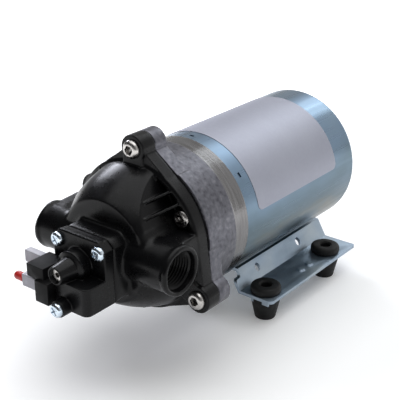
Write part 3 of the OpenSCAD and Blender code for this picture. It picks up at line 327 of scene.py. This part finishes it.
metal = {"Metallic": 1.0}
looks = {
    "plated_can": {
        "tones": [(0.32, (0.090, 0.110, 0.118)), (0.37, (0.150, 0.158, 0.145)),
                  (0.41, (0.098, 0.140, 0.165)), (0.49, (0.128, 0.182, 0.230)),
                  (0.57, (0.170, 0.240, 0.325)), (0.68, (0.200, 0.270, 0.335))],
        "toneScale": 34, "toneStretch": (1.0, 0.45, 1.0),
        "paintedShadeByHeight": {"share": 0.55, "low": 0.030, "high": 0.096},  # painted shade: darker towards the can's bottom, lighter and bluer towards its top
        "rough": (0.24, 0.38), "roughScale": 420, "roughStretch": (1, 0.03, 1),
        "bump": 0.10, "bumpDepth": 0.03, "bumpScale": 900, "bumpStretch": (1, 0.03, 1),
        "sockets": metal},
    "plated_base": {
        "tones": [(0.30, (0.23, 0.30, 0.37)), (0.50, (0.30, 0.37, 0.45)), (0.70, (0.38, 0.44, 0.49))],
        "toneScale": 45, "rough": (0.32, 0.44), "roughScale": 260,
        "bump": 0.03, "bumpDepth": 0.03, "bumpScale": 900, "bumpStretch": (1, 0.08, 1),
        "sockets": {"Metallic": 0.9}},
    "label_film": {
        "tones": [(0.30, (0.32, 0.33, 0.39)), (0.52, (0.34, 0.35, 0.41)), (0.72, (0.36, 0.37, 0.43))],
        "toneScale": 30, "rough": (0.48, 0.56), "roughScale": 700,
        "bump": 0.05, "bumpDepth": 0.02, "bumpScale": 400,
        "sockets": {"Metallic": 0.65}},
    "cast_alloy": {
        "tones": [(0.30, (0.072, 0.072, 0.084)), (0.42, (0.104, 0.104, 0.120)),
                  (0.58, (0.128, 0.128, 0.146)), (0.74, (0.178, 0.178, 0.198))],
        "turned": {  # the smooth ring next to the can
            "from": -0.061, "blend": 0.1 * mm, "rough": (0.17, 0.27),
            "tones": [(0.3, (0.135, 0.131, 0.130)), (0.7, (0.200, 0.197, 0.200))],
            "scale": 1500, "stretch": (0.05, 1, 0.05)},
        "toneScale": 480, "rough": (0.32, 0.46), "roughScale": 320,
        "bump": 0.25, "bumpDepth": 0.10, "bumpScale": 750,
        "sockets": {"Metallic": 0.9}},
    "black_moulding": {
        "tones": [(0.30, (0.0028, 0.0028, 0.0032)), (0.70, (0.0050, 0.0050, 0.0056))],
        "toneScale": 70, "rough": (0.24, 0.34), "roughScale": 180,
        "bump": 0.08, "bumpDepth": 0.05, "bumpScale": 1400,
        "sockets": {"Specular IOR Level": 0.16}},
    "switch_moulding": {
        "tones": [(0.30, (0.0036, 0.0036, 0.0041)), (0.70, (0.0062, 0.0062, 0.0069))],
        "toneScale": 120, "rough": (0.44, 0.56), "roughScale": 260,
        "bump": 0.14, "bumpDepth": 0.05, "bumpScale": 2200,
        "sockets": {"Specular IOR Level": 0.12}},
    "stainless": {
        "tones": [(0.30, (0.40, 0.385, 0.37)), (0.70, (0.54, 0.52, 0.50))],
        "toneScale": 240, "rough": (0.24, 0.34), "roughScale": 900,
        "bump": 0.06, "bumpDepth": 0.02, "bumpScale": 2400, "sockets": metal},
    "zinc_screw": {
        "tones": [(0.30, (0.46, 0.54, 0.62)), (0.52, (0.56, 0.64, 0.72)), (0.72, (0.68, 0.74, 0.79))],
        "toneScale": 420, "rough": (0.16, 0.28), "roughScale": 900,
        "bump": 0.06, "bumpDepth": 0.02, "bumpScale": 2400, "sockets": metal},
    "black_rubber": {
        "tones": [(0.30, (0.0045, 0.0045, 0.0045)), (0.70, (0.009, 0.009, 0.0092))],
        "toneScale": 160, "rough": (0.55, 0.72), "roughScale": 300,
        "bump": 0.20, "bumpDepth": 0.06, "bumpScale": 1800,
        "sockets": {"Specular IOR Level": 0.3}},
    "valve_rubber": {
        "tones": [(0.30, (0.16, 0.06, 0.03)), (0.70, (0.24, 0.10, 0.05))],
        "toneScale": 200, "rough": (0.5, 0.7), "roughScale": 400,
        "bump": 0.15, "bumpDepth": 0.05, "bumpScale": 1500},
    "clear_sleeve": {
        "tones": [(0.30, (0.50, 0.49, 0.56)), (0.70, (0.62, 0.61, 0.67))],
        "toneScale": 180, "rough": (0.25, 0.38), "roughScale": 320,
        "bump": 0.10, "bumpDepth": 0.06, "bumpScale": 500,
        "sockets": {"Transmission Weight": 0.35, "IOR": 1.45}},
    "red_sleeve": {
        "tones": [(0.30, (0.48, 0.012, 0.012)), (0.70, (0.62, 0.03, 0.025))],
        "toneScale": 260, "rough": (0.28, 0.4), "roughScale": 400,
        "bump": 0.10, "bumpDepth": 0.05, "bumpScale": 900,
        "sockets": {"Transmission Weight": 0.15, "IOR": 1.45}},
    "pale_moulding": {
        "tones": [(0.30, (0.72, 0.69, 0.62)), (0.70, (0.82, 0.80, 0.74))],
        "toneScale": 120, "rough": (0.4, 0.55), "roughScale": 300,
        "bump": 0.10, "bumpDepth": 0.04, "bumpScale": 1200},
    "card": {
        "tones": [(0.30, (0.30, 0.16, 0.07)), (0.70, (0.46, 0.27, 0.12))],
        "toneScale": 400, "rough": (0.5, 0.65), "roughScale": 500,
        "bump": 0.15, "bumpDepth": 0.05, "bumpScale": 1500},
    "carbon": {
        "tones": [(0.30, (0.025, 0.025, 0.026)), (0.70, (0.05, 0.05, 0.052))],
        "toneScale": 900, "rough": (0.55, 0.75), "roughScale": 900,
        "bump": 0.20, "bumpDepth": 0.05, "bumpScale": 2500},
    "magnet": {
        "tones": [(0.30, (0.06, 0.06, 0.065)), (0.70, (0.12, 0.12, 0.125))],
        "toneScale": 300, "rough": (0.5, 0.7), "roughScale": 500,
        "bump": 0.20, "bumpDepth": 0.06, "bumpScale": 1600},
    "core_steel": {
        "tones": [(0.30, (0.30, 0.31, 0.33)), (0.70, (0.45, 0.46, 0.48))],
        "toneScale": 150, "toneStretch": (1, 6, 1), "rough": (0.35, 0.5), "roughScale": 500,
        "bump": 0.15, "bumpDepth": 0.05, "bumpScale": 500, "bumpStretch": (0.05, 4, 0.05),
        "sockets": metal},
    "bearing_steel": {
        "tones": [(0.30, (0.66, 0.66, 0.67)), (0.70, (0.78, 0.78, 0.79))],
        "toneScale": 200, "rough": (0.10, 0.20), "roughScale": 700,
        "bump": 0.04, "bumpDepth": 0.02, "bumpScale": 2500, "sockets": metal},
    "spring_steel": {
        "tones": [(0.30, (0.52, 0.52, 0.53)), (0.70, (0.66, 0.66, 0.67))],
        "toneScale": 600, "rough": (0.22, 0.36), "roughScale": 1200,
        "bump": 0.05, "bumpDepth": 0.02, "bumpScale": 3000, "sockets": metal},
    "copper": {
        "tones": [(0.30, (0.58, 0.26, 0.13)), (0.70, (0.76, 0.42, 0.24))],
        "toneScale": 260, "rough": (0.25, 0.40), "roughScale": 700,
        "bump": 0.20, "bumpDepth": 0.08, "bumpScale": 900, "bumpStretch": (1, 0.1, 1),
        "sockets": metal},
    "brass": {
        "tones": [(0.30, (0.68, 0.50, 0.20)), (0.70, (0.82, 0.66, 0.32))],
        "toneScale": 300, "rough": (0.22, 0.36), "roughScale": 700,
        "bump": 0.06, "bumpDepth": 0.02, "bumpScale": 2000, "sockets": metal},
}
finishes = {slot: makeFinish(slot, look) for slot, look in looks.items()}
for row in frame["record"]["subparts"]:  # every CAD node takes its slot's finish
    node = frame["nodes"][row["node"]]
    node.data.materials.clear()
    node.data.materials.append(finishes[row["material_slot"]])
print("finishes made:", len(finishes))

# Pump head: rounded all over, with wide fillets where the ports and the switch's seat meet the dome
headLook = {
    "voxel": 0.38, "rounds": 5, "keep": 0.24,
    "filletRounds": 90, "filletReach": 4.2,
    "frontReach": 4.5, "softFrom": 4.0, "softOver": 8.0,  # the dome's front edge, softer on the inlet's side
    "webInner": 28.5, "webOuter": 35.6, "webFront": 20.5, "webBack": 6.5,
    "webBottom": 9.0, "webTop": 11.4, "webFall": 0.8,
    "portRadius": 10.5, "seatHalfWidth": 14.7, "seatTop": 12.5, "seatBottom": -15.8,
    "domeForward": 28.0, "domeArc": 52.0, "arcRadius": -16.97, "arcForward": -4.77}


def filletWeight(place, look):
    x = place.x / mm
    up = (place.z - axisHeight) / mm
    forward = (jointY - place.y) / mm
    out = math.hypot(x, up)
    pastFront = forward - look["domeForward"]
    fromArc = math.hypot(out - look["arcRadius"], forward - look["arcForward"]) - look["domeArc"]
    fromDome = min(abs(fromArc), abs(pastFront))
    fromPort = abs(math.hypot((portY - place.y) / mm, up) - look["portRadius"])
    fromSeat = abs(max(abs(x) - look["seatHalfWidth"], up - look["seatTop"], look["seatBottom"] - up))
    nearest = min(fromPort, fromSeat)
    reach = look["filletReach"]
    fillet = max(0, 1 - (fromDome / reach) ** 2) * max(0, 1 - (nearest / reach) ** 2)
    fromEdge = math.hypot(fromArc, pastFront) / look["frontReach"]
    inletSide = min(1, max(0, (-x - look["softFrom"]) / look["softOver"]))
    return max(fillet, inletSide * max(0, 1 - fromEdge ** 2))


def inletWeb(look):
    middle = Vector((-(look["webOuter"] + look["webInner"]) / 2 * mm,
                     jointY - (look["webFront"] + look["webBack"]) / 2 * mm,
                     axisHeight + (look["webTop"] + look["webBottom"]) / 2 * mm))
    addBlock(middle).scale = ((look["webOuter"] - look["webInner"]) * mm,
                              (look["webFront"] - look["webBack"]) * mm,
                              (look["webTop"] - look["webBottom"]) * mm)
    web = newPiece("inletWeb")
    choose(web, "EDGE", lambda edge: all(point.co.z > middle.z and point.co.y < middle.y
                                         for point in edge.verts))
    bpy.ops.transform.translate(value=(0, 0, -look["webFall"] * mm))
    leaveEdit()
    return web


def makeHead(look):
    piece = joined(copyOf("pump_head", "pumpHead"), [inletWeb(look)])
    remeshed(piece, look["voxel"], look["rounds"])
    fillets = piece.vertex_groups.new(name="fillets")
    for point in piece.data.vertices:
        weight = filletWeight(point.co, look)
        if weight > 0:
            fillets.add([point.index], weight, "REPLACE")
    applyModifier(piece, "SMOOTH", factor=smoothFactor, iterations=look["filletRounds"],
                  vertex_group="fillets")
    piece.vertex_groups.clear()
    thinned(piece, look["keep"])
    return piece


handOver(makeHead(headLook), "black_moulding", "pump_head")

# Cast housing
housingLook = {"voxel": 0.40, "rounds": 4, "keep": 0.30}
makeMoulded("front_housing", "castHousing", "cast_alloy", housingLook)

# Motor can: a drawn cup with a rounded rear, a thin lip, shallow staking marks and a bearing seat
canLook = {
    "wall": 1.8, "corner": 3.0, "cornerSteps": 8, "sides": 192,
    "lip": 0.3, "lipSteps": 3, "lipNear": 0.01, "lipSharp": 1.0,
    "stakes": (40, 90, 140, 220, 270, 320), "stakeBack": 3.9, "stakeBand": 1.5,
    "stakeWide": 2.4, "stakeLong": 1.4, "stakeDeep": 0.6,
    "screwY": (-20.0, 26.0), "screwRadius": 2.05, "screwSides": 32, "screwDeep": 8.0,
    "seatInner": 11.05, "seatOuter": 12.8, "seatDeep": 7.0, "seatSides": 64,
    "sharpAngle": 35, "areaWeight": 100}


def makeCup(look, low, high):
    middle = (0, (low.y + high.y) / 2, axisHeight)
    addCylinder(canRadius, high.y - low.y, look["sides"], middle, lyingDown)
    piece = newPiece("motorCan")
    choose(piece, "FACE", lambda face: face.normal.y < -facing)
    bpy.ops.mesh.delete(type="FACE")
    choose(piece, "FACE", lambda face: face.normal.y > facing)
    bpy.ops.mesh.region_to_loop()
    bpy.ops.mesh.bevel(offset=look["corner"] * mm, segments=look["cornerSteps"], affect="EDGES")
    for side in (-1, 1):  # a ring of edges on each side of the staking marks
        bpy.ops.mesh.select_all(action="SELECT")
        cutAt = low.y + (look["stakeBack"] + side * look["stakeBand"]) * mm
        bpy.ops.mesh.bisect(plane_co=(0, cutAt, 0), plane_no=(0, 1, 0))
    leaveEdit()
    applyModifier(piece, "SOLIDIFY", thickness=look["wall"] * mm, offset=-1.0)
    front = low.y + look["lipNear"] * mm
    choose(piece, "EDGE", lambda edge: all(point.co.y < front for point in edge.verts)
           and edge.calc_face_angle(0) > look["lipSharp"])
    bpy.ops.mesh.bevel(offset=look["lip"] * mm, segments=look["lipSteps"], affect="EDGES")
    leaveEdit()
    return piece


def makeBearingSeat(look, back):
    middle = (0, back - look["seatDeep"] * mm / 2, axisHeight)
    addCylinder(look["seatOuter"] * mm, look["seatDeep"] * mm, look["seatSides"], middle, lyingDown)
    seat = newPiece("bearingSeat")
    choose(seat, "FACE", lambda face: abs(face.normal.y) > facing)
    bpy.ops.mesh.inset(thickness=(look["seatOuter"] - look["seatInner"]) * mm, use_individual=True)
    bpy.ops.mesh.bridge_edge_loops()
    leaveEdit()
    return seat


def makeCan(look):
    low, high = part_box("motor_can")
    piece = makeCup(look, low, high)
    stakeSize = (2 * look["stakeDeep"] * mm, look["stakeWide"] * mm, look["stakeLong"] * mm, 1)
    for turn in look["stakes"]:
        cutter = addBlock()
        mark = onAxis((jointY - low.y) / mm - look["stakeBack"], turn, canRadius / mm)
        cutter.matrix_world = mark @ Matrix.Diagonal(stakeSize)
        cutAway(piece, cutter)
    for y in look["screwY"]:
        place = (0, y * mm, axisHeight - canRadius)
        drill = addCylinder(look["screwRadius"] * mm, look["screwDeep"] * mm, look["screwSides"], place)
        cutAway(piece, drill)
    joined(piece, [makeBearingSeat(look, high.y - look["wall"] * mm)])
    smoothBy(piece, look["sharpAngle"])
    applyModifier(piece, "WEIGHTED_NORMAL", keep_sharp=True, weight=look["areaWeight"])
    return piece


handOver(makeCan(canLook), "plated_can", "motor_can")

# Bare label: a flat film with round corners, cut into strips and laid round the can
labelLook = {"film": 0.15, "corner": 3.0, "cornerSteps": 8, "strips": 64, "lift": 0.01, "fromLevel": 8.6}


def makeLabel(look):
    low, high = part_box("rating_label")
    radius = canRadius + look["lift"] * mm
    halfTurn = math.radians(90 - look["fromLevel"])
    width = 2 * halfTurn * radius
    deselectAll()
    bpy.ops.mesh.primitive_plane_add(size=1, location=(0, (low.y + high.y) / 2, 0))
    bpy.context.object.scale = (width, high.y - low.y, 1)
    piece = newPiece("bareLabel")
    editAll(piece)
    bpy.ops.mesh.bevel(offset=look["corner"] * mm, segments=look["cornerSteps"], affect="VERTICES")
    for strip in range(1, look["strips"]):
        bpy.ops.mesh.select_all(action="SELECT")
        cutAt = width * (strip / look["strips"] - 0.5)
        bpy.ops.mesh.bisect(plane_co=(cutAt, 0, 0), plane_no=(1, 0, 0))
    leaveEdit()
    for point in piece.data.vertices:
        turn = point.co.x / radius
        point.co = Vector((radius * math.sin(turn), point.co.y, axisHeight + radius * math.cos(turn)))
    applyModifier(piece, "SOLIDIFY", thickness=look["film"] * mm, offset=1.0)
    smoothBy(piece, edgeAngle)
    return piece


handOver(makeLabel(labelLook), "label_film", "rating_label")

# Pressure switch with its sleeves and the red lead
coverLook = {"voxel": 0.22, "rounds": 9, "keep": 0.35}
makeMoulded("switch_cover", "switchCover", "black_moulding", coverLook)
snapLook = {"width": 0.25, "segments": 3}
makeEased("microswitch", "snapSwitch", "switch_moulding", snapLook)
sleeveLook = {"voxel": 0.18, "rounds": 8, "keep": 0.4}
makeMoulded("terminal_boots", "terminalSleeves", "clear_sleeve", sleeveLook)
leadLook = {"voxel": 0.15, "rounds": 6, "keep": 0.5}
makeMoulded("lead_stub", "redLead", "red_sleeve", leadLook)

# Screws: one of each kind is modelled, driven with a hex or a cross recess, and copied to its places
screwShape = {"sides": 48, "crownSteps": 8, "edge": 0.1, "edgeSteps": 2, "hexSides": 6,
              "crossTurn": 35, "crossShare": 0.36}
hexHead = {"slot": "stainless", "drive": "hex", "head": 4.2, "rise": 2.4, "crown": 2.0, "recess": 2.1,
           "deep": 1.6, "shank": 2.0}
crossHead = {"slot": "zinc_screw", "drive": "cross", "head": 3.2, "rise": 2.1, "crown": 1.5, "recess": 1.9,
             "deep": 1.1, "shank": 1.6}
screwLooks = {
    "earScrews": {**hexHead, "node": "ear_screws", "length": 15.0,
                  "forward": 8.0, "ring": 40.3, "turns": (90, 210, 330)},
    "pocketScrews": {**hexHead, "node": "inner_head_screws", "length": 15.4,
                     "forward": 5.4, "ring": 29.2, "turns": (30, 150, 270)},
    "coverScrews": {**crossHead, "node": "cover_screws", "length": 11.2,  # spots: across, up, forward
                    "spots": ((-11.5, 8.2, 42.2), (11.5, 8.2, 42.2), (2.4, -13.6, 58.0))},
}


def screwPlaces(look):
    if "turns" in look:
        return [onAxis(look["forward"], turn, look["ring"]) for turn in look["turns"]]
    return [onAxis(forward) @ Matrix.Translation((x * mm, up * mm, 0)) for x, up, forward in look["spots"]]


def cutRecess(piece, look, shape):
    top = (0, 0, look["rise"] * mm)
    deep = 2 * look["deep"] * mm
    if look["drive"] == "hex":
        cutAway(piece, addCylinder(look["recess"] * mm, deep, shape["hexSides"], top))
        return
    for turn in (0, quarterTurn):
        cutter = addBlock(top, (0, 0, turn + math.radians(shape["crossTurn"])))
        cutter.scale = (2 * look["recess"] * mm, shape["crossShare"] * look["recess"] * mm, deep)
        cutAway(piece, cutter)


def makeScrews(name, look, shape):
    rise = look["rise"] * mm
    addCylinder(look["head"] * mm, rise, shape["sides"], (0, 0, rise / 2))
    screw = newPiece(name)
    choose(screw, "FACE", lambda face: face.normal.z > facing)
    bpy.ops.mesh.region_to_loop()
    bpy.ops.mesh.bevel(offset=look["crown"] * mm, segments=shape["crownSteps"], affect="EDGES")
    choose(screw, "FACE", lambda face: face.normal.z < -facing)
    bpy.ops.mesh.inset(thickness=(look["head"] - look["shank"]) * mm)
    bpy.ops.mesh.extrude_region_move(TRANSFORM_OT_translate={"value": (0, 0, -look["length"] * mm)})
    leaveEdit()
    cutRecess(screw, look, shape)
    applyModifier(screw, "BEVEL", width=shape["edge"] * mm, segments=shape["edgeSteps"],
                  limit_method="ANGLE", angle_limit=math.radians(edgeAngle))
    smoothBy(screw, edgeAngle)
    firstPlace, *otherPlaces = screwPlaces(look)
    copies = []
    for place in otherPlaces:
        copy = bpy.data.objects.new(name, screw.data.copy())
        copy.data.transform(place)
        bpy.context.scene.collection.objects.link(copy)
        copies.append(copy)
    screw.data.transform(firstPlace)
    return joined(screw, copies)


for name, look in screwLooks.items():
    handOver(makeScrews(name, look, screwShape), look["slot"], look["node"])

# Base and feet
baseLook = {"width": 0.3, "segments": 3}
makeEased("mounting_base", "mountingBase", "plated_base", baseLook)
footLook = {"voxel": 0.25, "rounds": 6, "keep": 0.3}
makeMoulded("rubber_feet", "rubberFeet", "black_rubber", footLook)

# Springs inside: each spring is copied and cut down to its given span along one axis
springLooks = {
    "checkSpring": {"node": "check_spring", "joint": "poppet_slide", "along": 0,
                    "span": (0.0, 1.0), "anchor": 1.0, "travel": 2.0},
    "switchSpringRear": {"node": "switch_spring", "joint": "plunger_slide", "along": 1,
                         "span": (0.5, 1.0), "anchor": 0.5, "travel": 0.8},
    "switchSpringFront": {"node": "switch_spring", "joint": "cap_slide", "along": 1,
                          "span": (0.0, 0.5), "anchor": 0.5, "travel": 1.2},
}


def makeSpring(name, look):
    low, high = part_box(look["node"])
    along = look["along"]
    axis = Vector([1 if i == along else 0 for i in range(3)])
    reach = (high - low)[along]
    piece = copyOf(look["node"], name)
    for share, clearing in zip(look["span"], ("clear_inner", "clear_outer")):
        if 0 < share < 1:
            editAll(piece)
            cutAt = low + axis * reach * share
            bpy.ops.mesh.bisect(plane_co=cutAt, plane_no=axis, use_fill=True, **{clearing: True})
            leaveEdit()
    smoothBy(piece, edgeAngle)
    handOver(piece, "spring_steel", look["node"])
    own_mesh(piece)


for name, look in springLooks.items():
    makeSpring(name, look)

# Threads inside the two ports: one ridge turned round the port's axis behind a flat collar
threadLook = {"wall": 8.45, "crest": 7.6, "pitch": 1.41, "turns": 7, "steps": 48, "ridgeShare": 0.45,
              "collarX": 36.2, "collarLong": 1.0, "collarEdge": 0.25, "collarRadius": 7.75,
              "sharpAngle": 30}


def turnedRing(name, profile, steps, pitch=0, turns=1):
    deselectAll()
    bpy.ops.mesh.primitive_circle_add(vertices=len(profile), radius=1, fill_type="NOTHING")
    piece = newPiece(name)
    for point, (along, out) in zip(piece.data.vertices, profile):
        point.co = (along * mm, 0, out * mm)
    applyModifier(piece, "SCREW", axis="X", angle=2 * math.pi, screw_offset=pitch * mm, iterations=turns,
                  steps=steps, render_steps=steps, use_merge_vertices=pitch == 0)
    editAll(piece)
    if pitch > 0:  # a ridge has two open ends
        bpy.ops.mesh.select_all(action="DESELECT")
        bpy.ops.mesh.select_mode(type="EDGE")
        bpy.ops.mesh.select_non_manifold()
        bpy.ops.mesh.fill()
    bpy.ops.mesh.select_all(action="SELECT")
    bpy.ops.mesh.normals_make_consistent(inside=False)
    leaveEdit()
    return piece


def makeThread(name, look, side):
    half = look["ridgeShare"] * look["pitch"]
    start = -look["pitch"] * look["turns"] - look["collarLong"]
    ridgeProfile = ((start - half, look["wall"]), (start + half, look["wall"]), (start, look["crest"]))
    ridge = turnedRing(name, ridgeProfile, look["steps"], look["pitch"], look["turns"])
    collarProfile = ((-look["collarLong"], look["wall"]), (0, look["wall"]),
                     (0, look["collarRadius"]), (-look["collarEdge"], look["crest"]))
    joined(ridge, [turnedRing("collar", collarProfile, look["steps"])])
    ridge.rotation_euler = (0, 0, 0 if side > 0 else math.pi)
    ridge.location = (side * look["collarX"] * mm, portY, axisHeight)
    pick(ridge)
    bpy.ops.object.transform_apply(location=True, rotation=True, scale=True)
    smoothBy(ridge, look["sharpAngle"])
    return ridge


for name, side in (("portThreadOutlet", 1), ("portThreadInlet", -1)):
    handOver(makeThread(name, threadLook, side), "black_moulding")

# Stage: pale floor, white surroundings, soft lights
stageLook = {
    "floorSize": 6.0, "floorTone": 0.93, "toneStep": 0.01, "toneScale": 3.0,
    "floorGlow": 0.16, "fadeFrom": 0.10, "fadeTo": 0.46,  # the floor's own light, painted: weakest near the pump, leaving painted shade round it, and white far out
    "skyLight": 0.16, "skyAcross": (0.50, 0.86, 0.0), "skyFrom": (-0.3, 0.9), "skyTo": (0.08, 0.88)}
lightLooks = {
    "topSoftbox": {"place": (0.0, 0.2, 1.65), "aim": (0, 0.1, 0), "size": 2.2, "power": 30.0,
                   "tint": (0.98, 0.99, 1.0)},
    "backSoftbox": {"place": (-0.08, 0.95, 0.70), "aim": (0, 0, 0.05), "size": 0.42, "power": 1.6,
                    "tint": (0.90, 0.96, 1.0)},
    "windowSoftbox": {"place": (-0.81, 0.30, 0.50), "aim": (0, -0.1, 0.09), "size": 0.3, "power": 3.6,
                      "tint": (0.88, 0.90, 1.0)},
}


def seenRays(tree):
    rays = tree.nodes.new("ShaderNodeLightPath").outputs
    seen = reckoned(tree, "MAXIMUM", rays["Is Camera Ray"], rays["Is Glossy Ray"])
    return reckoned(tree, "MAXIMUM", seen, rays["Is Transmission Ray"])


# painted light and shade on the floor: its glow grows with distance from the origin, so the floor round the
# pump stays darker
def farGlow(tree, look):
    place = tree.nodes.new("ShaderNodeTexCoord")
    out = tree.nodes.new("ShaderNodeVectorMath")
    out.operation = "LENGTH"
    tree.links.new(place.outputs["Object"], out.inputs[0])
    return mapped(tree, out.outputs["Value"], (look["fadeFrom"], look["fadeTo"]), (look["floorGlow"], 1))


def makeFloor(look):
    deselectAll()
    bpy.ops.mesh.primitive_plane_add(size=look["floorSize"], location=(0, 0, 0))
    floor = bpy.context.object
    floor.name = "floor"
    paper = bpy.data.materials.new("paperFloor")
    paper.use_nodes = True
    tree = paper.node_tree
    tree.nodes.clear()
    tones = (look["floorTone"], look["floorTone"] + look["toneStep"])
    stops = [(at, (tone, tone, tone)) for at, tone in zip(noiseSpan, tones)]
    matt = tree.nodes.new("ShaderNodeBsdfDiffuse")
    tree.links.new(tonesOf(tree, noiseOn(tree, look["toneScale"]), stops), matt.inputs["Color"])
    glow = tree.nodes.new("ShaderNodeEmission")
    tree.links.new(reckoned(tree, "MULTIPLY", seenRays(tree), farGlow(tree, look)), glow.inputs["Strength"])
    both = tree.nodes.new("ShaderNodeAddShader")
    tree.links.new(matt.outputs[0], both.inputs[0])
    tree.links.new(glow.outputs[0], both.inputs[1])
    out = tree.nodes.new("ShaderNodeOutputMaterial")
    tree.links.new(both.outputs[0], out.inputs["Surface"])
    floor.data.materials.append(paper)


def makeSky(look):
    sky = bpy.data.worlds.new("studioSky")
    sky.use_nodes = True
    bpy.context.scene.world = sky
    tree = sky.node_tree
    tree.nodes.clear()
    place = tree.nodes.new("ShaderNodeTexCoord")
    across = tree.nodes.new("ShaderNodeVectorMath")
    across.operation = "DOT_PRODUCT"
    across.inputs[1].default_value = look["skyAcross"]
    tree.links.new(place.outputs["Generated"], across.inputs[0])
    shade = mapped(tree, across.outputs["Value"], look["skyFrom"], look["skyTo"])
    rays = tree.nodes.new("ShaderNodeLightPath").outputs
    white = reckoned(tree, "MAXIMUM", shade, rays["Is Camera Ray"])
    back = tree.nodes.new("ShaderNodeBackground")
    back.inputs["Color"].default_value = (1, 1, 1, 1)
    tree.links.new(mixed(tree, seenRays(tree), look["skyLight"], white), back.inputs["Strength"])
    out = tree.nodes.new("ShaderNodeOutputWorld")
    tree.links.new(back.outputs[0], out.inputs["Surface"])


def addLight(name, look):
    lamp = bpy.data.lights.new(name, "AREA")
    lamp.size = look["size"]
    lamp.energy = look["power"]
    lamp.color = look["tint"]
    holder = bpy.data.objects.new(name, lamp)
    holder.location = look["place"]
    towards = Vector(look["aim"]) - Vector(look["place"])
    holder.rotation_euler = towards.to_track_quat("-Z", "Y").to_euler()
    bpy.context.scene.collection.objects.link(holder)


makeFloor(stageLook)
makeSky(stageLook)
for name, look in lightLooks.items():
    addLight(name, look)
print("stage set:", len(lightLooks), "lights")

# Camera at the photograph's place
cameraLook = {"place": (0.24954, -0.35875, 0.23475), "turn": (66.394, 0.0, 38.159), "lens": 83.645,
              "sensor": 36.0}
camera = bpy.data.cameras.new("photoCamera")
camera.lens = cameraLook["lens"]
camera.sensor_width = cameraLook["sensor"]
cameraHolder = bpy.data.objects.new("photoCamera", camera)
cameraHolder.location = cameraLook["place"]
cameraHolder.rotation_euler = [math.radians(angle) for angle in cameraLook["turn"]]
bpy.context.scene.collection.objects.link(cameraHolder)
bpy.context.scene.camera = cameraHolder
bpy.context.scene.view_settings.view_transform = "Standard"
